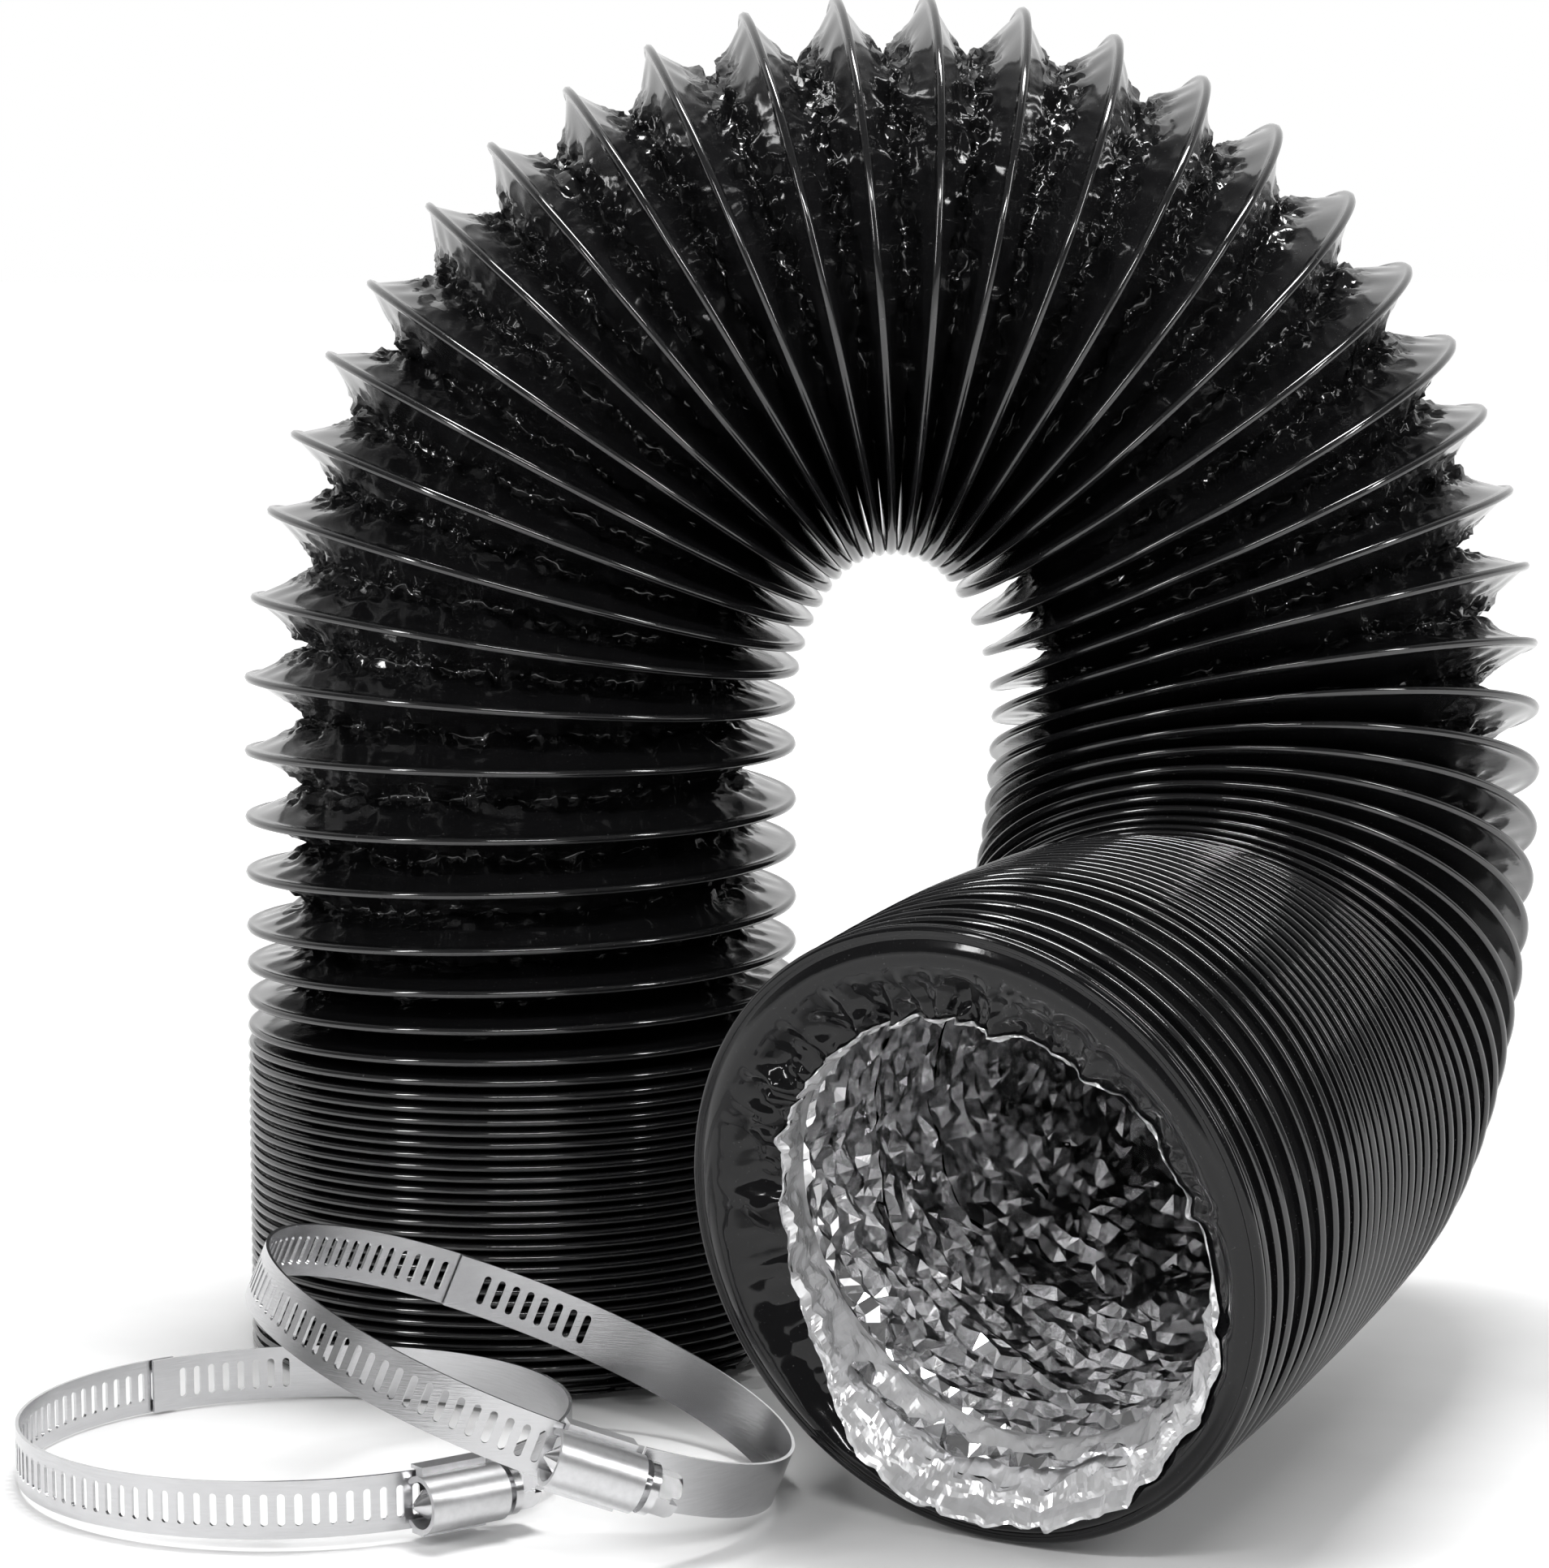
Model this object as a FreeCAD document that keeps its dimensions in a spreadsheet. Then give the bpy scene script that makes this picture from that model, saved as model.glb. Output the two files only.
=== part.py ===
import FreeCAD, Part
import math
import os
from FreeCAD import Placement, Rotation, Vector

# Flexible air duct, nominal 100 mm: a helix of spring steel wire held between a pleated
# black film and a foil liner, arranged as an arch, with two worm-drive band clamps.
# Frame: origin at the middle of the standing end's opening, on the floor, +Z up,
# +X towards the arch's other leg, -Y towards the open mouth's side.

os.makedirs("parts", exist_ok=True)
doc = FreeCAD.newDocument("air_duct")
sheet = doc.addObject("Spreadsheet::Sheet", "sizes")

SIZES = [
    # duct cross-section, radii from the centreline
    ("crest_radius", 55.0),        # outside of the film, over the wire
    ("film_thickness", 0.6),
    ("wire_diameter", 1.2),
    ("coil_radius", 53.6),         # middle of the wire
    ("foil_radius", 51.8),         # outside of the foil liner
    ("bore_radius", 51.0),         # inside of the foil liner
    ("section_gap", 0.4),          # clear space between neighbouring sections
    ("cuff_thickness", 0.8),
    ("cuff_bore", 52.1),
    # the duct's route
    ("base_length", 58.0),
    ("left_stretch_length", 70.0),
    ("shoulder_bend", 96.7),
    ("shoulder_angle", 35.0),
    ("crown_bend", 69.0),
    ("crown_angle", 80.0),
    ("crown_end_angle", 30.0),
    ("right_leg_length", 9.1),
    ("elbow_bend", 60.0),
    ("run_heading", 21.0),         # degrees to the left of -Y
    ("run_start_length", 22.0),
    ("run_stretch_length", 30.0),
    ("run_end_length", 14.0),
    ("nod_bend", 110.0),
    ("mouth_heading", 33.0),
    ("mouth_dip", 10.0),           # degrees below the horizontal
    ("mouth_length", 12.0),
    # worm-drive band clamps
    ("band_bore", 48.7),
    ("band_thickness", 0.6),
    ("band_width", 10.0),
    ("band_lap", 0.5),             # clear space between the overlapping band ends
    ("slot_pitch", 2.9),
    ("slot_width", 1.35),
    ("slot_length", 5.6),
    ("thread_radius", 3.4),
    ("thread_core", 2.5),
    ("barrel_bore", 4.1),
    ("barrel_radius", 5.0),
    ("housing_length", 15.5),
]
for row, (alias, value) in enumerate(SIZES, start=1):
    sheet.set("A%d" % row, alias)
    sheet.set("B%d" % row, str(value))
    sheet.setAlias("B%d" % row, alias)
doc.recompute()


def size(alias):
    return float(getattr(sheet, alias))


def bind(obj, **expressions):
    for prop, expression in expressions.items():
        obj.setExpression(prop, expression.replace("@", "sizes."))


nodes = {}


def keep(name, obj, placement=None):
    """Make obj the sub-part called name, at its place."""
    obj.Label = name
    if placement is not None:
        obj.Placement = placement
    nodes[name] = obj


def part_object(kind, name):
    return doc.addObject("Part::" + kind, name + "_obj")


def cut(name, base, tool):
    result = part_object("Cut", name)
    result.Base = base
    result.Tool = tool
    return result


def fuse(name, shapes):
    result = part_object("MultiFuse", name)
    result.Shapes = shapes
    return result


# ---------------------------------------------------------------- route of the duct

UP = Vector(0, 0, 1)


def level(heading):
    turn = math.radians(heading)
    return Vector(-math.sin(turn), -math.cos(turn), 0)


class Route:
    """Walks along the centreline. side is a unit vector square to the way ahead."""

    def __init__(self):
        self.point = Vector(0, 0, 0)
        self.ahead = Vector(0, 0, 1)
        self.side = Vector(0, 1, 0)

    def frame(self):
        third = self.ahead.cross(self.side)
        return Placement(self.point, Rotation(self.side, third, self.ahead))

    def straight(self, length):
        place = self.frame()
        self.point = self.point + self.ahead * length
        return place

    def bend(self, axis, radius, angle):
        axis = Vector(axis).normalize()
        centre = self.point + axis.cross(self.ahead) * radius
        outward = (self.point - centre).normalize()
        place = Placement(centre, Rotation(outward, self.ahead, axis))
        start = (self.side.dot(outward), self.side.dot(axis))
        turn = Rotation(axis, angle)
        self.point = centre + turn.multVec(self.point - centre)
        self.ahead = turn.multVec(self.ahead)
        self.side = turn.multVec(self.side)
        return place, math.atan2(start[1], start[0])


# ---------------------------------------------------------------- straight sections

def straight_tube(name, outer, inner, length, start, end):
    """A thin tube from start to length - end along local Z."""
    solids = []
    for part, radius in (("out", outer), ("in", inner)):
        cylinder = part_object("Cylinder", name + "_" + part)
        bind(cylinder, Radius=radius, Height="%s - %s - %s" % (length, start, end))
        bind(cylinder, **{"Placement.Base.z": start})
        solids.append(cylinder)
    return cut(name, solids[0], solids[1])


def straight_wire(name, turns, length_alias, start, end, place):
    """A round wire wound as a helix, with its ends inside the section."""
    coil = size("coil_radius")
    inset = size("wire_diameter") / 2 + 0.1
    low = start + inset
    climb = size(length_alias) - end - inset - low

    def point(turn):
        around = 2 * math.pi * turn
        return Vector(coil * math.cos(around), coil * math.sin(around), low + climb * turn / turns)

    wind(name, turns, point, place)


ARCS_PER_TURN = 6


def wind(name, turns, point, place):
    """Sweep the wire's round section along arcs through the points of a helix."""
    edges = []
    for index in range(ARCS_PER_TURN * turns):
        first = index / ARCS_PER_TURN
        middle = (index + 0.5) / ARCS_PER_TURN
        last = (index + 1) / ARCS_PER_TURN
        edges.append(Part.Arc(point(first), point(middle), point(last)).toShape())
    spine = Part.Wire(edges)
    tangent = edges[0].tangentAt(edges[0].FirstParameter)
    half = size("wire_diameter") / 2
    section = Part.Wire([Part.Circle(point(0), tangent, half).toShape()])
    wire = doc.addObject("Part::Feature", name + "_obj")
    wire.Shape = spine.makePipeShell([section], True, False)
    expected = math.pi * half ** 2 * spine.Length
    if abs(wire.Shape.Volume / expected - 1) > 0.02:
        raise RuntimeError("%s has the wrong volume" % name)
    keep(name, wire, place)


def straight_section(name, route, length_alias, turns, hem_at=None):
    """Sleeve, wire and foil of a straight stretch; hem_at is the end that carries a hem."""
    gap = "@section_gap / 2"
    hem = "(@cuff_thickness + 0.2)"
    start = hem if hem_at == "start" else gap
    end = hem if hem_at == "end" else gap
    length = "@" + length_alias
    place = route.straight(size(length_alias))
    sleeve = straight_tube(name + "_sleeve", "@crest_radius", "@crest_radius - @film_thickness",
                           length, start, end)
    keep(name + "_sleeve", sleeve, place)
    hem_size = size("cuff_thickness") + 0.2
    gap_size = size("section_gap") / 2
    wire_start = hem_size if hem_at == "start" else gap_size
    wire_end = hem_size if hem_at == "end" else gap_size
    straight_wire(name + "_wire", turns, length_alias, wire_start, wire_end, place)
    foil_start = "0" if hem_at == "start" else gap
    foil_end = "0" if hem_at == "end" else gap
    foil = straight_tube(name + "_foil", "@foil_radius", "@bore_radius", length, foil_start, foil_end)
    keep(name + "_foil", foil, place)


# ---------------------------------------------------------------- curved sections

def bent_tube(name, outer, inner, bend, angle, place):
    """A thin tube swept round an arc, with half a section gap left at each end."""
    gap = "(@section_gap / %s * 1 rad)" % bend
    solids = []
    for part, radius in (("out", outer), ("in", inner)):
        torus = part_object("Torus", name + "_" + part)
        bind(torus, Radius1=bend, Radius2=radius, Angle3="%s * 1 deg - %s" % (angle, gap))
        solids.append(torus)
    tube = cut(name, solids[0], solids[1])
    half_gap = math.degrees(size("section_gap") / 2 / value_of(bend))
    keep(name, tube, place.multiply(Placement(Vector(0, 0, 0), Rotation(UP, half_gap))))


def value_of(expression):
    return size(expression.replace("@", ""))


def bent_wire(name, bend_radius, angle, turns, phase, place):
    """The same wound wire where the duct bends: its turns fan out round the arc."""
    coil = size("coil_radius")
    inset = (size("section_gap") / 2 + size("wire_diameter") / 2 + 0.1) / (bend_radius - coil)
    inset = min(inset, math.radians(angle) / turns / 3)
    sweep_angle = math.radians(angle) - 2 * inset

    def point(turn):
        along = inset + sweep_angle * turn / turns
        around = phase + 2 * math.pi * turn
        reach = bend_radius + coil * math.cos(around)
        return Vector(reach * math.cos(along), reach * math.sin(along), coil * math.sin(around))

    wind(name, turns, point, place)


def bent_section(name, route, axis, bend, angle, angle_value, turns):
    place, phase = route.bend(axis, value_of(bend), angle_value)
    bent_tube(name + "_sleeve", "@crest_radius", "@crest_radius - @film_thickness", bend, angle, place)
    bent_wire(name + "_wire", value_of(bend), angle_value, turns, phase, place)
    bent_tube(name + "_foil", "@foil_radius", "@bore_radius", bend, angle, place)


def cuff(name, place, from_end):
    """The film's hem, folded in over the last turn of wire."""
    ring = []
    for part, radius in (("out", "@crest_radius"), ("in", "@cuff_bore")):
        cylinder = part_object("Cylinder", name + "_" + part)
        bind(cylinder, Radius=radius, Height="@cuff_thickness")
        if from_end:
            bind(cylinder, **{"Placement.Base.z": "@%s - @cuff_thickness" % from_end})
        ring.append(cylinder)
    keep(name, cut(name, ring[0], ring[1]), place)


def make_duct():
    route = Route()
    over = Vector(0, 1, 0)
    cuff("standing_cuff", route.frame(), None)
    straight_section("base", route, "base_length", 26, hem_at="start")
    straight_section("left_stretch", route, "left_stretch_length", 8)
    shoulder = size("shoulder_angle")
    bent_section("left_shoulder", route, over, "@shoulder_bend", "@shoulder_angle", shoulder, 4)
    bent_section("crown", route, over, "@crown_bend", "@crown_angle", size("crown_angle"), 10)
    bent_section("crown_end", route, over, "@crown_bend", "@crown_end_angle", size("crown_end_angle"), 4)
    bent_section("right_shoulder", route, over, "@shoulder_bend", "@shoulder_angle", shoulder, 4)
    straight_section("right_leg", route, "right_leg_length", 1)
    run = level(size("run_heading"))
    bent_section("elbow", route, route.ahead.cross(run), "@elbow_bend", "90", 90.0, 8)
    straight_section("run_start", route, "run_start_length", 8)
    straight_section("run_stretch", route, "run_stretch_length", 11)
    straight_section("run_end", route, "run_end_length", 5)
    facing = level(size("mouth_heading")) * math.cos(math.radians(size("mouth_dip")))
    facing = facing - UP * math.sin(math.radians(size("mouth_dip")))
    axis = route.ahead.cross(facing)
    turn = math.degrees(math.asin(axis.Length))
    bent_section("nod", route, axis, "@nod_bend", repr(turn), turn, 6)
    cuff("mouth_cuff", route.frame(), "mouth_length")
    straight_section("mouth", route, "mouth_length", 3, hem_at="end")
    return route


# ---------------------------------------------------------------- worm-drive band clamps
# Local frame of a clamp: the loop's axis is Z, the housing is at +X, the screw's axis
# runs along Y with its head at +Y.

def arc_strip(name, inner, thickness, width, first, last):
    """A strip bent round Z, from angle first to angle last in degrees."""
    solids = []
    for part, extra in (("out", " + " + thickness), ("in", "")):
        cylinder = part_object("Cylinder", name + "_" + part)
        bind(cylinder, Radius=inner + extra, Height=width)
        cylinder.Angle = last - first
        turn = Rotation(UP, first)
        cylinder.Placement = Placement(Vector(0, 0, 0), turn)
        bind(cylinder, **{"Placement.Base.z": "-(%s) / 2" % width})
        solids.append(cylinder)
    solids[1].Angle = 360
    return cut(name, solids[0], solids[1])


def slot_tools(name, radius, first, count):
    """Round-ended slots standing across the band, one screw pitch apart."""
    half = size("slot_width") / 2
    reach = size("slot_length") / 2 - half
    step = math.degrees(size("slot_pitch") / radius)
    sides = [
        Part.LineSegment(Vector(0, -half, -reach), Vector(0, -half, reach)),
        Part.Arc(Vector(0, -half, reach), Vector(0, 0, reach + half), Vector(0, half, reach)),
        Part.LineSegment(Vector(0, half, reach), Vector(0, half, -reach)),
        Part.Arc(Vector(0, half, -reach), Vector(0, 0, -reach - half), Vector(0, -half, -reach)),
    ]
    outline = Part.Wire([side.toShape() for side in sides])
    slot = Part.Face(outline).extrude(Vector(4, 0, 0))
    slot.translate(Vector(radius - 2, 0, 0))
    slots = []
    for index in range(count):
        copy = slot.copy()
        copy.rotate(Vector(0, 0, 0), UP, first - index * step)
        slots.append(copy)
    tool = doc.addObject("Part::Feature", name + "_slots")
    tool.Shape = Part.makeCompound(slots)
    return tool


def box(name, low, high):
    block = part_object("Box", name)
    block.Placement = Placement(Vector(*low), Rotation())
    block.Length = high[0] - low[0]
    block.Width = high[1] - low[1]
    block.Height = high[2] - low[2]
    return block


def along_screw(name, kind, start, length, **sizes):
    """A cylinder or cone on the screw's axis, from start along +Y."""
    solid = part_object(kind, name)
    bind(solid, **sizes)
    solid.Height = length
    solid.Placement = Placement(Vector(screw_x(), start, 0), Rotation(Vector(1, 0, 0), -90))
    return solid


def strap_radius():
    return size("band_bore") + size("band_thickness") + size("band_lap")


def screw_x():
    return strap_radius() + size("band_thickness") + 0.3 + size("thread_radius")


def make_screw(name):
    half = size("housing_length") / 2
    parts = [
        along_screw(name + "_core", "Cylinder", -half + 1.4, 2 * half + 1.4, Radius="@thread_core"),
        along_screw(name + "_tip", "Cone", -half - 1.2, 2.6, Radius1="0.35", Radius2="@thread_core"),
        along_screw(name + "_flange", "Cylinder", half + 1.3, 1.5, Radius="@thread_radius + 1.1"),
    ]
    head = part_object("Prism", name + "_head")
    head.Polygon = 6
    head.Circumradius = 4.05
    head.Height = 4.4
    head.Placement = Placement(Vector(screw_x(), half + 2.6, 0), Rotation(Vector(1, 0, 0), -90))
    rounded = part_object("Common", name + "_head_round")
    rounded.Base = head
    rounded.Tool = along_screw(name + "_head_cone", "Cone", half + 2.6, 4.4, Radius1="5.6", Radius2="3.6")
    x_mid = screw_x()
    slot = box(name + "_slot", (x_mid - 6, half + 5.4, -0.55), (x_mid + 6, half + 8, 0.55))
    slotted = cut(name + "_head_slotted", rounded, slot)
    turns = 3
    pitch = size("slot_pitch")
    path = Part.makeHelix(pitch, pitch * turns, size("thread_core") - 0.1)
    ridge = [Vector(size("thread_core") - 0.2, 0, -0.75), Vector(size("thread_radius"), 0, -0.3),
             Vector(size("thread_radius"), 0, 0.3), Vector(size("thread_core") - 0.2, 0, 0.75)]
    section = Part.makePolygon(ridge + ridge[:1])
    thread = doc.addObject("Part::Feature", name + "_thread")
    thread.Shape = Part.Wire(path.Edges).makePipeShell([section], True, True)
    thread.Placement = Placement(Vector(x_mid, -pitch * turns / 2, 0), Rotation(Vector(1, 0, 0), -90))
    return fuse(name, parts + [slotted, thread])


def make_housing(name):
    """Barrel over the screw, with side walls down to the saddle under the band."""
    half = size("housing_length") / 2
    wall_low = size("band_bore") + size("band_thickness") - 0.15
    x_mid = screw_x()
    wide = size("band_width") / 2
    shell = fuse(name + "_shell", [
        along_screw(name + "_barrel", "Cylinder", -half, 2 * half, Radius="@barrel_radius"),
        box(name + "_walls", (wall_low, -half + 1.5, -wide - 1.0), (x_mid - 1.2, half - 1.5, wide + 1.0)),
    ])
    x_band_top = strap_radius() + size("band_thickness") + 0.35
    space = fuse(name + "_space", [
        along_screw(name + "_bore", "Cylinder", -half - 1, 2 * half - 0.2, Radius="@barrel_bore"),
        along_screw(name + "_neck", "Cylinder", half - 2, 4, Radius="@thread_core + 0.15"),
        box(name + "_passage", (wall_low - 0.2, -half - 1, -wide - 0.3), (x_band_top, half + 1, wide + 0.3)),
        box(name + "_throat", (x_band_top - 0.5, -half - 1, -3.2), (x_mid, half - 1.2, 3.2)),
    ])
    return cut(name, shell, space)


def saddle_end(bore):
    """The saddle's angle at the head's side: it shows a little past the housing."""
    return math.degrees((size("housing_length") / 2 + 1.2) / bore)


def make_clamp(name, place):
    bore = size("band_bore")
    step = math.degrees(size("slot_pitch") / strap_radius())
    lip = saddle_end(bore)
    saddle = arc_strip(name + "_saddle", "@band_bore", "@band_thickness - 0.2",
                       "@band_width", -5.0, lip)
    keep(name + "_saddle", saddle, place)
    tail = step
    back = -180.0 - step / 2
    strap = arc_strip(name + "_strap_blank", "@band_bore + @band_thickness + @band_lap",
                      "@band_thickness", "@band_width", back, tail)
    count = int((180 + tail) / step)
    slots = slot_tools(name + "_strap", strap_radius(), 0.0, count)
    keep(name + "_strap", cut(name + "_strap", strap, slots), place)
    plain = arc_strip(name + "_band_blank", "@band_bore", "@band_thickness", "@band_width", lip + 0.4, 184.0)
    few = slot_tools(name + "_band", bore + 0.3, 180.0 - step, 8)
    keep(name + "_band", cut(name + "_band", plain, few), place)
    keep(name + "_housing", make_housing(name + "_housing"), place)
    keep(name + "_screw", make_screw(name + "_screw"), place)


def clamp_place(x, y, z, lean, lean_heading, housing_angle):
    """A loop centred at x, y, z, leaning lean degrees down towards lean_heading."""
    axis = Rotation(UP, lean_heading).multVec(Vector(0, 1, 0))
    tilt = Rotation(axis, lean)
    return Placement(Vector(x, y, z), tilt.multiply(Rotation(UP, housing_angle)))


route = make_duct()
make_clamp("clamp_one", clamp_place(-35.2, -101.0, 5.97, 1.1, 126.0, -54.0))
make_clamp("clamp_two", clamp_place(6.6, -119.0, 23.15, 22.0, 5.0, -74.0))

doc.recompute()
for obj in doc.Objects:
    if "Invalid" in obj.State or "Error" in obj.State:
        raise RuntimeError("%s failed: %s" % (obj.Label, obj.State))
for name, obj in nodes.items():
    shape = obj.Shape
    if shape.isNull() or not shape.isValid() or not shape.Solids:
        raise RuntimeError("%s has no valid solid" % name)
    shape.exportStep("parts/%s.step" % name)
print("mouth centre", route.point, "facing", route.ahead)
print(len(nodes), "sub-parts written")
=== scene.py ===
"""Looks of the flexible air duct: pleated film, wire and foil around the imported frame, in metres."""

import math

import bpy
import numpy as np
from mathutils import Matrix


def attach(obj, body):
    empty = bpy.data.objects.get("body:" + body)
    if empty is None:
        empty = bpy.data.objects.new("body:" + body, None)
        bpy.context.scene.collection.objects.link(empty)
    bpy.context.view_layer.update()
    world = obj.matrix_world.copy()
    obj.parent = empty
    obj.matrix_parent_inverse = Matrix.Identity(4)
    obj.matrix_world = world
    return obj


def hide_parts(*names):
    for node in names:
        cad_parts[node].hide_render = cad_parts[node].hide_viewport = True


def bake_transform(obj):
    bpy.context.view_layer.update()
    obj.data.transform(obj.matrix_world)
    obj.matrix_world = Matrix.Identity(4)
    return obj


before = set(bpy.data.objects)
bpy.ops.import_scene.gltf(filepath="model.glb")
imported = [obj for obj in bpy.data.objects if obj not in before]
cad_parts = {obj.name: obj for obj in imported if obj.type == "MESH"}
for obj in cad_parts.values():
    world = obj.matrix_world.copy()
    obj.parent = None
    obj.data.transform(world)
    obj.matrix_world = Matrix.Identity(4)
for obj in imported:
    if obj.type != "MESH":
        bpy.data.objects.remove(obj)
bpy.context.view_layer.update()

MM = 0.001
CREST = 55.0  # crest radius of the film, mm
BEAD = 0.85  # radius of the film round the wire, mm
WIRE = 0.55  # wire radius, mm
MOUTH_END = 0.5  # the rim's bead stays this far inside the mouth plane, mm
FLOOR_GAP = 0.9  # height of the lowest crest, mm
LINER = 43  # radius that the foil's facets are counted round, mm
LINER_RIB = 4.6  # distance between the foil's fine ribs, mm


# ---------------------------------------------------------------- the duct's centre line, in mm
def unit(v):
    v = np.asarray(v, float)
    return v / np.linalg.norm(v)


def turned(v, axis, angle):
    """v turned about a unit axis by an array of angles."""
    angle = np.asarray(angle, float)[..., None]
    return (
        v * np.cos(angle)
        + np.cross(axis, v) * np.sin(angle)
        + axis * (np.dot(axis, v) * (1 - np.cos(angle)))
    )


class Route:
    """Straights and bends laid end to end, with one cross direction carried along without twist."""

    def __init__(self):
        self.parts = []
        self.length = 0.0
        self.point = np.zeros(3)
        self.heading = np.array([0.0, 0.0, 1.0])
        self.side = np.array([1.0, 0.0, 0.0])

    def straight(self, length):
        self.parts.append((self.length, length, None, self.point, self.heading, self.side, None))
        self.point = self.point + self.heading * length
        self.length += length

    def bend(self, radius, angle, axis):
        axis = unit(axis)
        centre = self.point + radius * np.cross(axis, self.heading)
        length = radius * angle
        self.parts.append((self.length, length, axis, self.point, self.heading, self.side, centre))
        self.point = centre + turned(self.point - centre, axis, angle)
        self.heading = turned(self.heading, axis, angle)
        self.side = turned(self.side, axis, angle)
        self.length += length

    def at(self, s):
        """Centre points and the two cross directions at distances s."""
        s = np.asarray(s, float)
        centre = np.zeros(s.shape + (3,))
        side = np.zeros(s.shape + (3,))
        heading = np.zeros(s.shape + (3,))
        for i, (begin, length, axis, point, way, cross, hub) in enumerate(self.parts):
            low = -np.inf if i == 0 else begin
            high = np.inf if i == len(self.parts) - 1 else begin + length
            here = (s >= low) & (s < high)
            t = s[here] - begin
            if axis is None:
                centre[here] = point + t[:, None] * way
                side[here] = cross
                heading[here] = way
            else:
                angle = t * np.linalg.norm(np.cross(way, axis)) / np.linalg.norm(point - hub)
                centre[here] = hub + turned(point - hub, axis, angle)
                side[here] = turned(cross, axis, angle)
                heading[here] = turned(way, axis, angle)
        return centre, side, np.cross(heading, side), heading


Z = np.array([0.0, 0.0, 1.0])
Y = np.array([0.0, 1.0, 0.0])
RUN = np.array([-0.35837, -0.93358, 0.0])
MOUTH = unit([-0.53636, -0.82593, -0.17365])

LEG_HEIGHT = 128.0
SHOULDER_RADIUS, SHOULDER_TURN = 96.7, math.radians(35)
CROWN_RADIUS, CROWN_TURN = 69, math.radians(110)
DROP = 9.1  # the straight between the right shoulder and the elbow
ELBOW_RADIUS, ELBOW_TURN = 60, math.radians(90)
RUN_LENGTH = 66
NOD_RADIUS = 110
MOUTH_LENGTH = 12

duct = Route()
duct.straight(LEG_HEIGHT)
duct.bend(SHOULDER_RADIUS, SHOULDER_TURN, Y)
duct.bend(CROWN_RADIUS, CROWN_TURN, Y)
duct.bend(SHOULDER_RADIUS, SHOULDER_TURN, Y)
duct.straight(DROP)
duct.bend(ELBOW_RADIUS, ELBOW_TURN, np.cross(-Z, RUN))
duct.straight(RUN_LENGTH)
duct.bend(NOD_RADIUS, math.asin(np.linalg.norm(np.cross(RUN, MOUTH))), np.cross(RUN, MOUTH))
duct.straight(MOUTH_LENGTH)

S_SHOULDER = LEG_HEIGHT
S_CROWN_END = S_SHOULDER + SHOULDER_RADIUS * SHOULDER_TURN + CROWN_RADIUS * CROWN_TURN
S_RUN = S_CROWN_END + SHOULDER_RADIUS * SHOULDER_TURN + DROP + ELBOW_RADIUS * ELBOW_TURN
S_END = duct.length

# Distance between neighbouring crests along the centre line: (place, pitch) in mm.
PITCH = [
    (0, 2.15), (54, 2.2), (59.3, 2.7), (62.3, 3.3), (67, 6.2), (73.5, 6.4), (80.6, 8), (90, 11),
    (100.7, 10), (111.6, 12), (124, 12.4), (136, 12), (152, 10.8), (187, 10.4), (319, 10.4),
    (335, 11.6), (368, 11.2), (382, 9.9), (396, 8.6), (420, 8.2), (450, 8.0), (482, 7.2), (500, 6.2),
    (520, 5.2), (540, 4.5), (S_END - 9, 4.2), (S_END, 4.6),
]  # fmt: skip
TIGHTEST_PITCH = 2.0  # at the inside of a bend, mm
SHARPEST_BEND = 0.8  # crest radius over bend radius, at most
places = np.linspace(0, S_END, 6001)


# Crest planes lean round a bend over a longer stretch than the centre line turns in.
ARCH_REACH, ELBOW_REACH = 20, 50


def spread(vectors, reach):
    """The vectors averaged along the centre line over a bell of this reach."""
    half = 1500
    bell = np.exp(-0.5 * (np.arange(-half, half + 1) * (places[1] - places[0]) / reach) ** 2)
    padded = np.concatenate([np.repeat(vectors[:1], half, 0), vectors, np.repeat(vectors[-1:], half, 0)])
    return np.stack([np.convolve(padded[:, k], bell / bell.sum(), "valid") for k in range(3)], axis=1)


def each_unit(vectors):
    return vectors / np.linalg.norm(vectors, axis=1, keepdims=True)


def window(begin, rise, end, fall):
    """A smooth 0-1-0 share along the places."""
    share = np.clip((places - begin) / rise, 0, 1) * np.clip((end - places) / fall, 0, 1)
    return (share * share * (3 - 2 * share))[:, None]


exact_centre, exact_side, _, exact_heading = duct.at(places)
early = window(45, 40, 260, 60)
late = window(S_CROWN_END - 5, 50, S_END - 8, 37)


def leaned(vectors):
    """The vectors, averaged a little round the arch and more from the elbow on."""
    kept = vectors * (1 - early - late)
    return kept + spread(vectors, ARCH_REACH) * early + spread(vectors, ELBOW_REACH) * late


HEADINGS = each_unit(leaned(exact_heading))
SIDES = leaned(exact_side)
SIDES = each_unit(SIDES - np.sum(SIDES * HEADINGS, axis=1, keepdims=True) * HEADINGS)
OTHERS = np.cross(HEADINGS, SIDES)

curving = np.linalg.norm(np.gradient(HEADINGS, places, axis=0), axis=1)
pitches = np.interp(places, [p[0] for p in PITCH], [p[1] for p in PITCH])
pitches = np.maximum(pitches, TIGHTEST_PITCH / (1 - np.minimum(CREST * curving, SHARPEST_BEND)))
turns = np.concatenate([[0], np.cumsum(np.diff(places) * 2 / (pitches[1:] + pitches[:-1]))])


def frames(s):
    """Centre points, the two cross directions and the heading of the crest planes at distances s."""
    return tuple(
        np.stack([np.interp(s, places, table[:, k]) for k in range(3)], axis=-1)
        for table in (exact_centre, SIDES, OTHERS, HEADINGS)
    )


def outward(side, other, angle):
    """The ways out from the centre line at these angles round it."""
    return side * np.cos(angle)[..., None] + other * np.sin(angle)[..., None]


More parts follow.
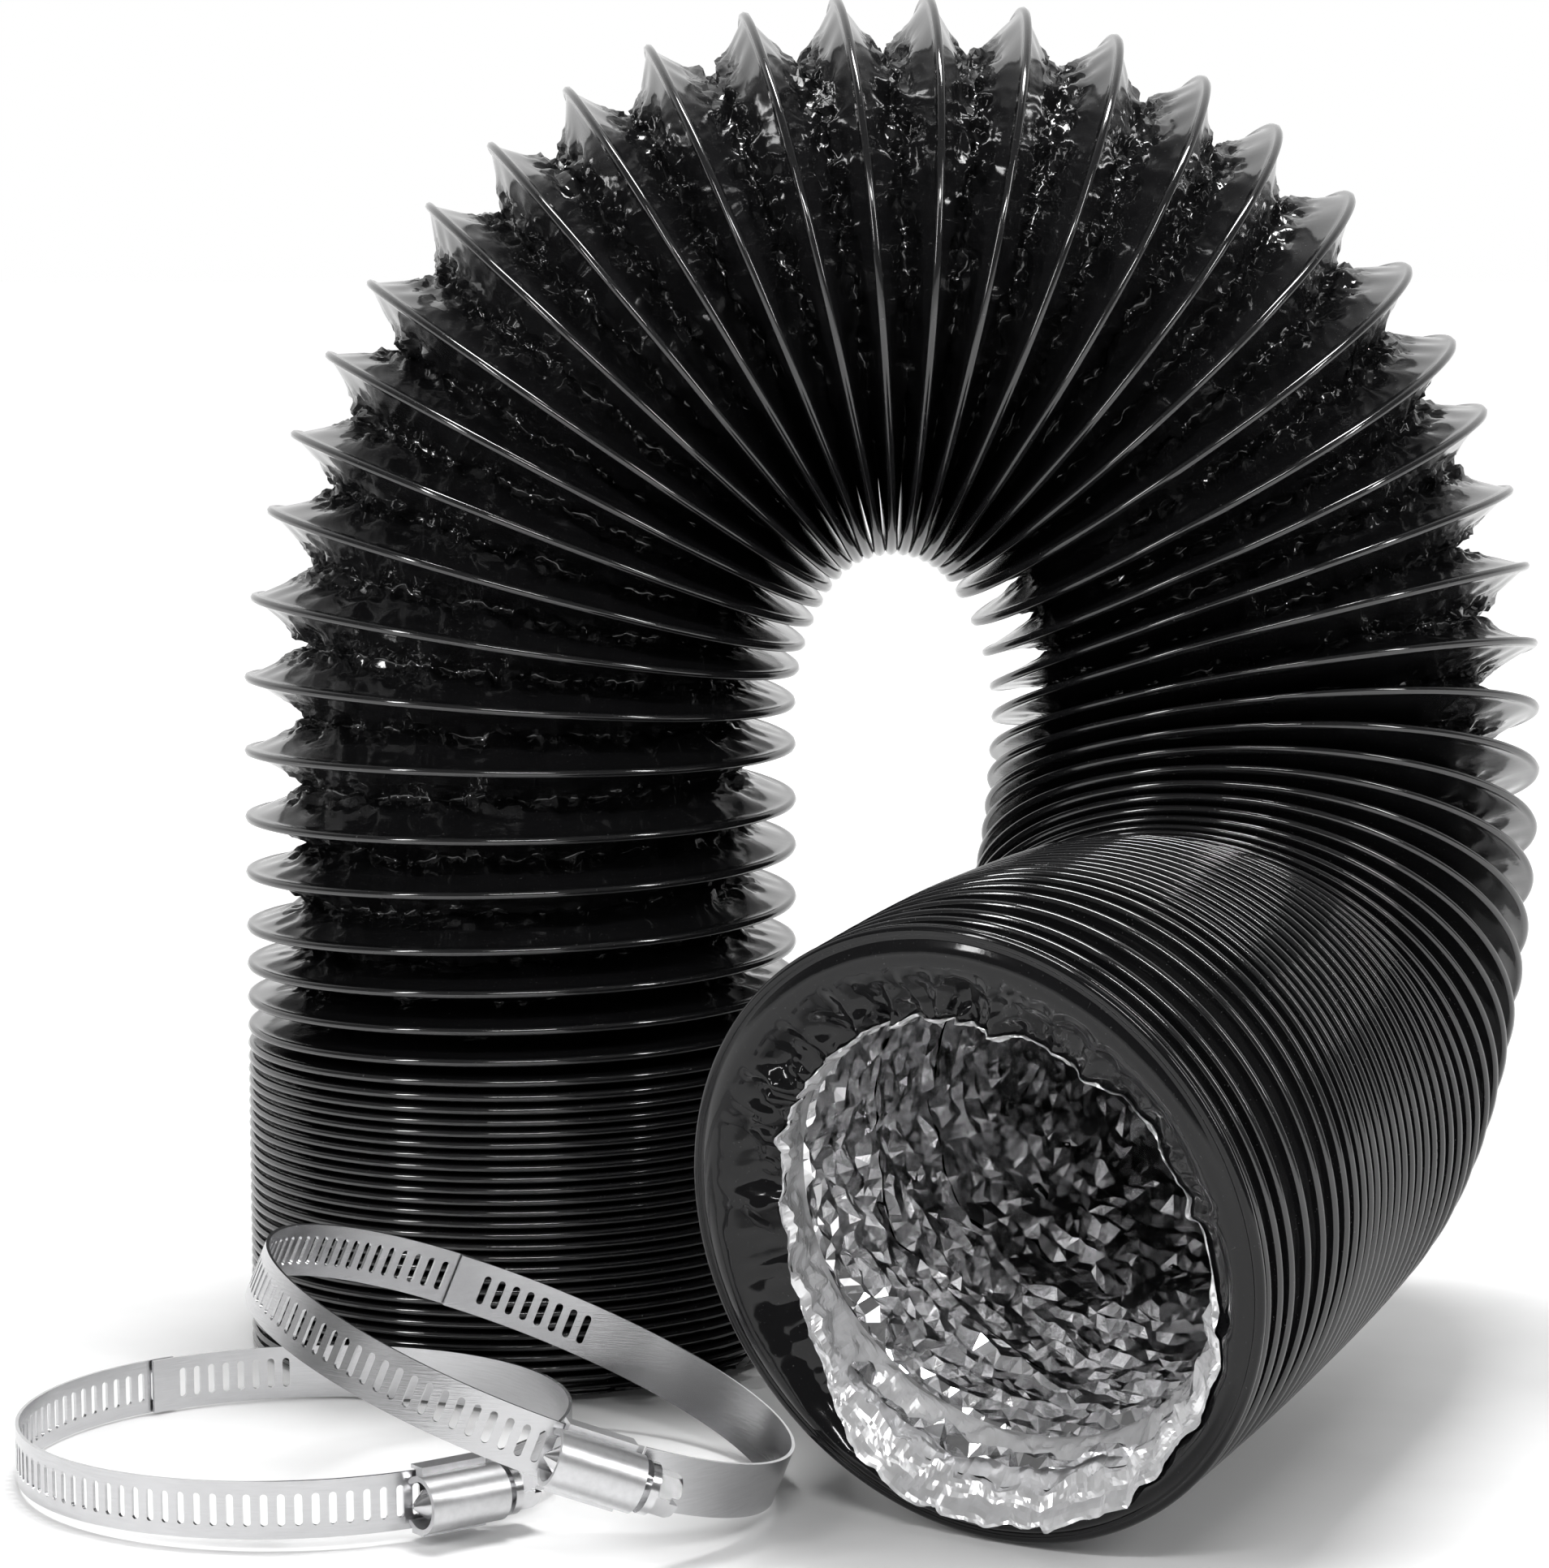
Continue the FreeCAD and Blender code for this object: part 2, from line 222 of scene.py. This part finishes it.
def along(u):
    """Centre-line distance of the crest helix after u turns; its first and last turns lie flat."""
    u = np.asarray(u, float)
    s = np.interp(u, turns, places)
    open_share = np.clip((np.interp(s, places, pitches) - 4) / 8, 0, 1)
    s = s + 0.7 * open_share * (np.sin(u * 2.9 + 0.4) + np.sin(u * 4.7 + 1.9)) / 2
    return np.clip(s, FLOOR_GAP, S_END - MOUTH_END)


def turns_at(s):
    return float(np.interp(s, places, turns))


# ---------------------------------------------------------------- creases
def scatter(i, j, seed):
    """A repeatable number from 0 to 1 for each lattice point."""
    n = (i.astype(np.int64) * 374761393 + j.astype(np.int64) * 668265263 + seed * 974711) & 0x7FFFFFFF
    n = ((n ^ (n >> 13)) * 1274126177) & 0x7FFFFFFF
    n = ((n ^ (n >> 11)) * 461845907) & 0x7FFFFFFF
    return ((n ^ (n >> 15)) & 0xFFFF) / 65535.0


def creases(x, y, seed):
    """Flat facets with sharp edges, like crumpled foil, from -1 to 1."""
    x, y = x + 0.35 * np.sin(y * 1.3 + seed), y + 0.35 * np.sin(x * 1.1 + 2 * seed)
    i, j = np.floor(x), np.floor(y)
    fx, fy = x - i, y - j
    h00, h10 = scatter(i, j, seed), scatter(i + 1, j, seed)
    h01, h11 = scatter(i, j + 1, seed), scatter(i + 1, j + 1, seed)
    lower = h00 + fx * (h10 - h00) + fy * (h01 - h00)
    upper = h11 + (1 - fx) * (h01 - h11) + (1 - fy) * (h10 - h11)
    return 2 * np.where(fx + fy < 1, lower, upper) - 1


def crumple(x, y, size, seed):
    """Two sizes of creases laid over each other."""
    big = creases(x / size, y / size, seed)
    c, s = math.cos(0.7), math.sin(0.7)
    small = creases((c * x - s * y) / (size * 0.43), (s * x + c * y) / (size * 0.43), seed + 7)
    return 0.66 * big + 0.34 * small


def smooth(t, low, high):
    t = np.clip((t - low) / (high - low), 0, 1)
    return t * t * (3 - 2 * t)


# ---------------------------------------------------------------- meshes
def add_mesh(name, points, faces, smooth_faces=True):
    """A mesh object from points in mm and an array of triangles or quads."""
    mesh = bpy.data.meshes.new(name)
    count, sides = faces.shape
    mesh.vertices.add(len(points))
    mesh.vertices.foreach_set("co", (points * MM).astype(np.float32).ravel())
    mesh.loops.add(count * sides)
    mesh.loops.foreach_set("vertex_index", faces.astype(np.int32).ravel())
    mesh.polygons.add(count)
    mesh.polygons.foreach_set("loop_start", np.arange(0, count * sides, sides, dtype=np.int32))
    mesh.polygons.foreach_set("use_smooth", np.full(count, smooth_faces))
    mesh.update(calc_edges=True)
    mesh.validate()
    made = bpy.data.objects.new(name, mesh)
    bpy.context.scene.collection.objects.link(made)
    return made


def grid_faces(index):
    """Quads between neighbouring rows and columns of an index grid."""
    return np.stack(
        [index[:-1, :-1], index[1:, :-1], index[1:, 1:], index[:-1, 1:]], axis=-1
    ).reshape(-1, 4)


def ring_index(rows, around):
    """Vertex numbers of a grid whose last column meets its first."""
    index = np.arange(rows * around).reshape(rows, around)
    return np.concatenate([index, index[:, :1]], axis=1)


def flank_length(s):
    """Film between two crests, folded in half: shorter where the run is squeezed."""
    return np.interp(s, [0, 470, 510, S_END - 9, S_END - 4], [15.5, 15.5, 9.0, 8.4, 2.6])


def pleat(name, begin, end, around, across, seed):
    """The pleated film between two turn counts: beads over the wire and creased V folds between them."""
    bead_angles = np.radians([90, 42, -4, -38])
    rows = int(round((end - begin) * around))
    u = begin + np.arange(rows + 1) / around
    half = [("bead", a) for a in bead_angles] + [("flank", (k + 1) / across) for k in range(across)]
    columns = [(*column, False) for column in half] + [(*column, True) for column in half[-2:0:-1]]
    width = len(columns)
    s0, s1 = along(u), along(u + 1)
    phase = 2 * math.pi * (u % 1)
    crests = []
    for s in (s0, s1):
        centre, side, other, _ = frames(s)
        crests.append(centre + CREST * outward(side, other, phase))
    gap = np.maximum(np.linalg.norm(crests[1] - crests[0], axis=1), 1e-4)
    flank = flank_length(s0)
    depth = np.sqrt(np.maximum(flank**2 - (gap / 2) ** 2, 4.0))
    open_share = smooth(gap, 2.6, 10)
    depth = depth * (1 + 0.05 * open_share * np.sin(u * 11.3 + 3 * np.sin(u * 2.1)))
    pinch = (1 - smooth(gap / np.interp(s0, places, pitches), 0.22, 0.4)) * (s0 < S_CROWN_END)
    bead = np.minimum(BEAD * (1 + 0.35 * pinch), (0.33 + 0.167 * pinch) * gap)
    run = u * 2 * math.pi * CREST
    points = np.zeros((rows + 1, width, 3))
    for c, (kind, t, back) in enumerate(columns):
        if kind == "bead":
            x = bead * math.cos(t)
            y = -bead + bead * math.sin(t)
        else:
            neck_x, neck_y = 0.72 * bead, -1.75 * bead
            shut = (1 - open_share) * (0.25 + 0.75 * pinch)
            wide = (1 - shut) * (0.92 * t + 0.08 * t**2) + shut * t**0.4
            x = neck_x + (gap / 2 - neck_x) * wide
            y = neck_y - (depth + neck_y) * (0.85 * t + 0.15 * math.sin(math.pi / 2 * t))
            place = t * flank * (-1 if back else 1) + 40 * np.floor(u)
            deep = float(smooth(t, 0.3, 0.85))
            fold = crumple(run, place, 5.0, seed)
            fine = crumple(run, place, 2.1, seed + 3)
            ripple = np.sin(run / 2.3 + 5 * np.sin(run / 31)) * math.sin(math.pi * t)
            y = y + open_share * (deep * (1.7 * fold + 1.1 * fine) + 0.1 * ripple)
            x = x + open_share * (deep * (1.3 * fine + 1.2 * fold) + 0.16 * ripple)
        share = x / gap
        share = 1 - share if back else share
        centre, side, other, _ = frames(s0 + (s1 - s0) * share)
        points[:, c] = centre + (CREST + y)[:, None] * outward(side, other, phase)
    _, side, other, _ = frames(s0[: around + 1])
    radial_first = outward(side, other, phase[: around + 1])
    last_u = end + np.arange(1, around + 1) / around
    centre, side, other, _ = frames(along(last_u))
    radial_last = outward(side, other, 2 * math.pi * (last_u % 1))
    last = centre + CREST * radial_last
    index = np.zeros((rows + 1, width + 1), np.int64)
    index[:, :width] = np.arange((rows + 1) * width).reshape(rows + 1, width)
    crest = np.concatenate([index[:, 0], (rows + 1) * width + np.arange(around)])
    index[:, width] = crest[around : around + rows + 1]
    all_points = np.concatenate([points.reshape(-1, 3), last])
    made = add_mesh(name, all_points, grid_faces(index))
    ends = np.zeros((len(all_points), 3), np.float32)
    ends[index[: around + 1, 0]] = radial_first
    ends[crest[-around:]] = radial_last
    made.data.normals_split_custom_set_from_vertices(ends)
    return made


def wire(name, begin, end, around):
    """The spring wire inside the film's beads."""
    rows = int(round((end - begin) * around))
    u = begin + np.arange(rows + 1) / around
    centre, side, other, heading = frames(along(u))
    radial = outward(side, other, 2 * math.pi * (u % 1))
    sides = 6
    points = np.zeros((rows + 1, sides, 3))
    for k in range(sides):
        a = 2 * math.pi * k / sides
        radius = CREST - BEAD - 0.05 + WIRE * math.cos(a)
        points[:, k] = centre + radius * radial + WIRE * math.sin(a) * heading
    return add_mesh(name, points.reshape(-1, 3), grid_faces(ring_index(rows + 1, sides)))


def liner_radius(s):
    return np.interp(s, [0, 470, 510, S_END], [38.2, 38.2, 43.6, 43.6])


def liner(name, begin, end, step, seed, rough):
    """The crumpled foil lining as a tube of flat facets, ribbed in a fine helix."""
    rows = max(2, int(round((end - begin) / step)))
    around = int(round(2 * math.pi * LINER / step))
    row = np.repeat(np.arange(rows + 1)[:, None], around, axis=1)
    column = np.repeat(np.arange(around)[None, :], rows + 1, axis=0)
    inside = (row > 0) & (row < rows)
    slip = np.where(inside, scatter(row, column, seed + 1) - 0.5, 0)
    s = begin + (end - begin) * row / rows + 0.75 * step * slip
    angle = 2 * math.pi * (column + 0.5 * (row % 2) + 0.7 * (scatter(row, column, seed + 2) - 0.5)) / around
    arc = angle * LINER
    wave = np.minimum(1, np.minimum(column, around - column) / 8)
    rib = s / LINER_RIB - angle / (2 * math.pi) + 0.2 * creases(arc / 9, s / 7, seed)
    ridge = np.abs((rib % 1) * 2 - 1)
    fold = creases(arc / 5.6, s / 5.0, seed + 11) * wave
    fine = scatter(row, column, seed + 5) - 0.5
    radius = liner_radius(s) + rough * (1.6 * (0.5 - ridge) + 2.1 * fold + 0.6 * fine)
    centre, side, other, _ = frames(s)
    points = centre + radius[..., None] * outward(side, other, angle)
    index = ring_index(rows + 1, around)
    even = (np.arange(rows) % 2 == 0)[:, None]
    a, b, c, d = index[:-1, :-1], index[1:, :-1], index[1:, 1:], index[:-1, 1:]
    first = np.where(even[..., None], np.stack([a, b, d], -1), np.stack([a, b, c], -1))
    second = np.where(even[..., None], np.stack([b, c, d], -1), np.stack([a, c, d], -1))
    faces = np.concatenate([first.reshape(-1, 3), second.reshape(-1, 3)])
    return add_mesh(name, points.reshape(-1, 3), faces, smooth_faces=False)


# ---------------------------------------------------------------- materials
def material(name, base, metallic, roughness, specular=0.5):
    m = bpy.data.materials.new(name)
    m.use_nodes = True
    shader = m.node_tree.nodes["Principled BSDF"]
    shader.inputs["Base Color"].default_value = (*base, 1)
    shader.inputs["Metallic"].default_value = metallic
    shader.inputs["Roughness"].default_value = roughness
    shader.inputs["Specular IOR Level"].default_value = specular
    return m, m.node_tree, shader


def noise(tree, scale, detail, stretch=(1, 1, 1)):
    """Object-space noise; its factor output."""
    place = tree.nodes.new("ShaderNodeTexCoord")
    stretched = tree.nodes.new("ShaderNodeMapping")
    stretched.inputs["Scale"].default_value = stretch
    texture = tree.nodes.new("ShaderNodeTexNoise")
    texture.inputs["Scale"].default_value = scale
    texture.inputs["Detail"].default_value = detail
    tree.links.new(place.outputs["Object"], stretched.inputs["Vector"])
    tree.links.new(stretched.outputs["Vector"], texture.inputs["Vector"])
    return texture.outputs["Fac"]


def ramp(tree, factor, low, high, at=(0.4, 0.6)):
    """Colours between two ends."""
    node = tree.nodes.new("ShaderNodeValToRGB")
    node.color_ramp.elements[0].position = at[0]
    node.color_ramp.elements[1].position = at[1]
    node.color_ramp.elements[0].color = (*low, 1)
    node.color_ramp.elements[1].color = (*high, 1)
    tree.links.new(factor, node.inputs["Fac"])
    return node.outputs["Color"]


def bump(tree, shader, height, strength, distance):
    node = tree.nodes.new("ShaderNodeBump")
    node.inputs["Strength"].default_value = strength
    node.inputs["Distance"].default_value = distance
    tree.links.new(height, node.inputs["Height"])
    tree.links.new(node.outputs["Normal"], shader.inputs["Normal"])


def film_material(name, base, roughness, specular, dust):
    m, tree, shader = material(name, base, 0, roughness, specular)
    specks = noise(tree, 2600, 1)
    grey = tuple(min(1, b + dust) for b in base)
    colour = ramp(tree, specks, base, grey, (0.73, 0.77))
    tree.links.new(colour, shader.inputs["Base Color"])
    haze = ramp(tree, noise(tree, 60, 3), (roughness * 0.8,) * 3, (roughness * 1.25,) * 3, (0.35, 0.65))
    tree.links.new(haze, shader.inputs["Roughness"])
    bump(tree, shader, noise(tree, 420, 3), 0.06, 0.0003)
    return m


def metal_material(name, base, roughness, scale, stretch, strength, metallic=1.0):
    m, tree, shader = material(name, base, metallic, roughness)
    grain = noise(tree, scale, 4, stretch)
    low = tuple(b * 0.9 for b in base)
    tree.links.new(ramp(tree, grain, low, base, (0.3, 0.7)), shader.inputs["Base Color"])
    bump(tree, shader, grain, strength, 0.0002)
    return m


film = film_material("black_film", (0.0075, 0.0075, 0.008), 0.11, 0.85, 0.1)
lip_film = film_material("black_lip_film", (0.005, 0.005, 0.0055), 0.1, 0.34, 0.05)
steel = metal_material("spring_steel", (0.55, 0.55, 0.56), 0.3, 900, (1, 1, 1), 0.1)
foil = metal_material("crumpled_foil", (0.9, 0.9, 0.91), 0.1, 700, (1, 1, 1), 0.08)
# The turned-out foil edge gets a lighter, partly matt copy of the foil: painted light, for the light that
# edge catches.
painted_light_foil = metal_material(
    "foil_edge_painted_light", (0.93, 0.93, 0.94), 0.24, 500, (1, 1, 1), 0.12, metallic=0.65
)
band_steel = metal_material("band_strip_steel", (0.62, 0.62, 0.63), 0.26, 260, (1, 1, 14), 0.08)
housing_steel = metal_material("housing_satin_steel", (0.66, 0.66, 0.67), 0.36, 900, (1, 1, 1), 0.12)
screw_steel = metal_material("plated_screw_steel", (0.66, 0.66, 0.67), 0.2, 700, (1, 1, 1), 0.06)


def dress(made, finish):
    made.data.materials.clear()
    made.data.materials.append(finish)


# ---------------------------------------------------------------- film, wire and foil pieces, each listed with one of five bends
STRETCH_FOOT = 58  # where the leg starts to stretch, mm
P_CROWN = np.array([17.49, 0, 183.47])
T_CROWN = np.array([0.966, 0, 0.259])
ELBOW = np.array([126.52, -56.01, 118.9])
T_ELBOW = (RUN - Z) / math.sqrt(2)
RUN0 = np.array([126.52, -56.01, 58.9])
NOD = np.array([96.80, -131.27, 58.24])
T_NOD = unit(RUN + MOUTH)

LEG = ("standing_end", "arch_left", (0, 0, STRETCH_FOOT), (0, 0, S_SHOULDER))
ARCH = ("arch_left", "arch_right", P_CROWN + 22 * T_CROWN, P_CROWN + 57 * T_CROWN)
BEND = ("arch_right", "mouth_run", ELBOW - 50 * T_ELBOW, ELBOW + 16 * T_ELBOW)
STRAIGHT = ("mouth_run", "mouth_slide", RUN0 + 22 * RUN, RUN0 + 51.5 * RUN)
NOSE = ("mouth_slide", "mouth_end", NOD - 21 * T_NOD, NOD + 7.5 * T_NOD)

# Film pieces: name, bend, last place in mm, the CAD sections stood for, facets round and across a fold.
FILM = [
    ("base", LEG, STRETCH_FOOT, ["base"], 112, 5),
    ("left_stretch", LEG, S_SHOULDER + 1, ["left_stretch"], 208, 13),
    ("arch_left", ARCH, 224, ["left_shoulder", "crown"], 272, 14),
    ("arch_right", ARCH, S_CROWN_END + 1, ["crown_end"], 272, 14),
    ("right_shoulder", BEND, 388, ["right_shoulder", "right_leg"], 256, 13),
    ("elbow", BEND, S_RUN + 19, ["elbow", "run_start"], 176, 9),
    ("run", STRAIGHT, S_RUN + 52.3, ["run_stretch"], 208, 8),
    ("mouth", NOSE, S_END, ["run_end", "nod", "mouth"], 208, 8),
]
# Wire and foil pieces: name, bend, last place, the CAD sections stood for, facet size of the foil.
CORE = [
    ("lower_leg", LEG, S_SHOULDER + 1, ["base", "left_stretch"], 3.5),
    ("arch", ARCH, S_CROWN_END + 1, ["left_shoulder", "crown", "crown_end"], 3.5),
    ("bend", BEND, S_RUN + 19, ["right_shoulder", "right_leg", "elbow", "run_start"], 2.2),
    ("run", STRAIGHT, S_RUN + 52.3, ["run_stretch"], 1.9),
    ("mouth", NOSE, S_END, ["run_end", "nod", "mouth"], 1.9),
]


def install(made, finish, sections, layer):
    dress(made, finish)
    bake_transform(made)
    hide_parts(*[section + "_" + layer for section in sections])


def whole(u):
    """A turn count the meshes of every piece can end on."""
    return round(u * 16) / 16


first = -1.0
for seed, (name, bend, place, sections, around, across) in enumerate(FILM):
    last = whole(turns_at(place))
    sleeve = pleat(name + "_film", first, last, around, across, seed * 5 + 1)
    install(sleeve, film, sections, "sleeve")
    first = last

first, begin = 0.0, 1.0
for name, bend, place, sections, step in CORE:
    last = whole(turns_at(place))
    coil = wire(name + "_wire", first, last + (1 if name == "mouth" else 0), 72)
    install(coil, steel, sections, "wire")
    end = place - 5 if name == "mouth" else place
    lining = liner(name + "_foil", begin, end, step, 31, 1.0 if step < 3 else 0.5)
    install(lining, foil, sections, "foil")
    first, begin = last, end

# ---------------------------------------------------------------- the mouth's film lip and foil edge
AROUND_LIP = 420
OPENING = 41.6  # mean radius of the opening in the lip, mm
OPENING_LOW, OPENING_ASIDE = 4.4, 1.2  # how far the opening lies below the rim's middle and to the right, mm
RIM_BEAD = 1.05  # radius of the lip's rim, mm
LIP_DIP, LIP_SWELL = 4.6, 1.8  # how far the lip's inner edge lies back, and its bulge on the way, mm
FOIL_BACK, FOIL_CLEAR = 14, 0.6  # where the foil edge starts behind the rim, and its gap over the lip, mm
ROW = 0.9  # width of sheet between two rows of the foil edge, mm

end_centre, _, _, _ = frames(np.array([S_END - MOUTH_END]))
MOUTH_UP = unit(Z - Z.dot(MOUTH) * MOUTH)
MOUTH_RIGHT = np.cross(MOUTH_UP, MOUTH)
MOUTH_RING = (end_centre[0], MOUTH_RIGHT, MOUTH_UP, MOUTH)


def angles(around):
    return 2 * math.pi * np.arange(around) / around


def ring_sheet(name, ring, radii, forward, smooth_faces=True):
    """A sheet round a ring's axis: radii and forward offsets in mm as (row, angle) grids."""
    centre, right, up, axis = ring
    radial = outward(right, up, angles(radii.shape[1]))
    points = centre + radii[..., None] * radial[None] + forward[..., None] * axis
    return add_mesh(name, points.reshape(-1, 3), grid_faces(ring_index(*radii.shape)), smooth_faces)


theta = angles(AROUND_LIP)
seam = np.minimum(1, np.minimum(theta, 2 * math.pi - theta) / 0.2)
inner = OPENING - OPENING_LOW * np.sin(theta) + OPENING_ASIDE * np.cos(theta)
inner = inner + 0.7 * np.sin(3 * theta + 1) + 1.1 * creases(theta * 9, theta * 0, 5) * seam
rim = np.radians(np.linspace(130, -50, 9))[:, None]
rim_radii = CREST - 1.0 + RIM_BEAD * np.sin(rim) + 0 * theta
rim_forward = RIM_BEAD * np.cos(rim) + 0 * theta

# Eleven sharp pulls in the film, and where it hangs loose: most at the upper left, least at the bottom.
pull_place = theta * 11 / (2 * math.pi) + 0.13 * np.sin(5 * theta)
pull = np.maximum(0, 1 - np.abs((pull_place % 1) - 0.5) * 9)
low_side = smooth(-np.sin(theta + 0.3), -0.35, 0.6)
upper_left = smooth(np.cos(theta - math.radians(140)), 0.1, 0.9)
loose = seam * (1 - 0.6 * low_side) * (1 + 1.3 * upper_left)


def lip_surface(t):
    """The turned-in film from the rim (0) to its inner edge (1): radii and forward offsets."""
    radii = rim_radii[-1] + (inner - rim_radii[-1]) * t
    arc = theta * 48 + 0 * t
    folds = crumple(arc, radii, 8, 41) * 1.9 + crumple(arc, radii, 3.6, 43) * 0.9
    forward = rim_forward[-1] - LIP_DIP * t**1.6 + LIP_SWELL * np.sin(math.pi * np.minimum(1, t / 0.6))
    return radii, forward + smooth(t, 0.22, 0.8) * loose * (folds + 1.6 * pull)


radii, forward = lip_surface(np.linspace(0.04, 1, 26)[:, None])
radii = np.concatenate([rim_radii, radii])
forward = np.concatenate([rim_forward, forward])
lip = ring_sheet("mouth_lip_film", MOUTH_RING, radii, forward)
dress(lip, lip_film)
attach(lip, "mouth_end")
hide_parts("mouth_cuff")

# The foil comes forward inside the lip and turns out over it, furthest at the bottom.
turned_out = smooth(-np.sin(theta - 0.35), 0.1, 0.95) * (4.8 + 1.8 * creases(theta * 5, theta * 0, 9))
shown = (0.4 + turned_out * seam) / (rim_radii[-1] - inner)
over_radii, over_forward = lip_surface(1 - shown * np.linspace(0.1, 1, 9)[:, None])
t = np.linspace(0, 1, 16)[:, None]
back_radii = OPENING + (inner - 0.5 - OPENING) * smooth(t, 0.1, 1)
back_forward = -FOIL_BACK + (over_forward[0] + FOIL_BACK - 0.4) * t
radii = np.concatenate([back_radii, over_radii])
forward = np.concatenate([back_forward, over_forward + FOIL_CLEAR])
length = ROW * np.arange(len(radii))[:, None]
folds = crumple(theta * 46 + 0 * length, length + 0 * theta, 4.6, 51) * seam * smooth(length, 0, 4)
forward = forward + folds * 1.1
radii = radii + np.where(length < ROW * len(t), 1.5 * folds, -0.6 * np.abs(folds))
foil_edge = ring_sheet("mouth_foil_edge", MOUTH_RING, radii, forward, smooth_faces=False)
# Painted light: the foil edge wears the lighter copy of the foil.
dress(foil_edge, painted_light_foil)
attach(foil_edge, "mouth_end")

# ---------------------------------------------------------------- the film turned in under the standing end
HEM_ROWS, AROUND_HEM = 12, 240
HEM_RADIUS, HEM_SPREAD = 50.5, 3.2  # at the top, and how much wider at the floor, mm
HEM_HEIGHT, HEM_GAP = 6.5, 0.35  # mm
FLAP_AT = math.radians(-54)  # where a crumpled flap of the film stands out from the foot
FLAP_REACH, FLAP_HEIGHT = 9.5, 5.0  # mm
X = np.array([1.0, 0.0, 0.0])

theta = angles(AROUND_HEM)
t = np.linspace(0, 1, HEM_ROWS)[:, None]
flap = smooth(np.cos(theta - FLAP_AT), 0.955, 0.985)
reach = np.where(flap > 0, FLAP_REACH + 2 * creases(theta * 20, theta * 0, 3), 0)
outer_half = smooth(t, 0.4, 1)
radii = HEM_RADIUS + HEM_SPREAD * smooth(t, 0, 0.4) + flap * reach * outer_half
folds = crumple(theta * 58 + 0 * t, radii, 4.5, 61)
height = HEM_HEIGHT * (1 - smooth(t, 0, 0.5)) + HEM_GAP + flap * outer_half * (FLAP_HEIGHT + 2.4 * folds)
hem = ring_sheet("standing_hem_film", (np.zeros(3), X, Y, Z), radii, height)
dress(hem, film)
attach(hem, "standing_end")
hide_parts("standing_cuff")

# ---------------------------------------------------------------- the clamps keep their CAD shapes
CLAMP_FINISH = {
    "band": band_steel,
    "strap": band_steel,
    "saddle": housing_steel,
    "housing": housing_steel,
    "screw": screw_steel,
}
for clamp in ("clamp_one", "clamp_two"):
    for part, finish in CLAMP_FINISH.items():
        node = bpy.data.objects[clamp + "_" + part]
        node.data.materials.clear()
        node.data.materials.append(finish)

# ---------------------------------------------------------------- floor, light and camera
FLOOR_SIZE = 40.0  # m
FLOOR_DROP = 0.0004  # m below zero height
MIDDLE = (0.07, -0.05, 0.12)  # where the lights point, m
floor_mat, tree, shader = material("pale_floor", (0.9, 0.9, 0.9), 0, 0.6, 0.2)
tree.links.new(
    ramp(tree, noise(tree, 30, 3), (0.885, 0.885, 0.885), (0.91, 0.91, 0.91)), shader.inputs["Base Color"]
)
place = tree.nodes.new("ShaderNodeTexCoord")
far = tree.nodes.new("ShaderNodeVectorMath")
far.operation = "LENGTH"
tree.links.new(place.outputs["Object"], far.inputs[0])
glow = ramp(tree, far.outputs["Value"], (0.02, 0.02, 0.02), (1, 1, 1), (0.3, 1.0))
tree.links.new(glow, shader.inputs["Emission Color"])
shader.inputs["Emission Strength"].default_value = 0.62
bpy.ops.mesh.primitive_grid_add(
    x_subdivisions=8, y_subdivisions=8, size=FLOOR_SIZE, location=(0, 0, -FLOOR_DROP)
)
floor = bpy.context.active_object
floor.name = "floor"
floor.data.materials.append(floor_mat)

world = bpy.data.worlds.new("studio")
bpy.context.scene.world = world
world.use_nodes = True
sky = world.node_tree
place = sky.nodes.new("ShaderNodeTexCoord")
split = sky.nodes.new("ShaderNodeSeparateXYZ")
sky.links.new(place.outputs["Generated"], split.inputs["Vector"])
tint = ramp(sky, split.outputs["Y"], (0.14, 0.14, 0.14), (1, 1, 1), (0.05, 0.6))
sky.links.new(tint, sky.nodes["Background"].inputs["Color"])
sky.nodes["Background"].inputs["Strength"].default_value = 1.0
bpy.context.scene.view_settings.view_transform = "Standard"


def softbox(name, location, target, size, power):
    data = bpy.data.lights.new(name, "AREA")
    data.shape = "RECTANGLE"
    data.size, data.size_y = size
    data.energy = power
    lamp = bpy.data.objects.new(name, data)
    lamp.location = location
    way = np.array(target) - np.array(location)
    yaw = math.atan2(way[1], way[0])
    tilt = math.atan2(math.hypot(way[0], way[1]), -way[2])
    lamp.rotation_euler = (tilt, 0, yaw - math.pi / 2)
    bpy.context.scene.collection.objects.link(lamp)


softbox("top_soft", (0.1, 0.05, 1.1), MIDDLE, (0.5, 0.14), 9)
softbox("left_soft", (-0.8, -0.7, 0.6), MIDDLE, (0.08, 0.5), 3.5)
softbox("right_soft", (0.95, -0.6, 0.7), MIDDLE, (0.08, 0.5), 3.5)
softbox("front_soft", (0.05, -1.1, 0.95), MIDDLE, (0.6, 0.06), 5.2)

camera = bpy.data.cameras.new("camera")
camera.sensor_width = 36
camera.lens = 102.08
eye = bpy.data.objects.new("camera", camera)
eye.location = (0.0506, -0.883, 0.221)
eye.rotation_euler = (math.radians(82.96), 0, 0)
bpy.context.scene.collection.objects.link(eye)
bpy.context.scene.camera = eye
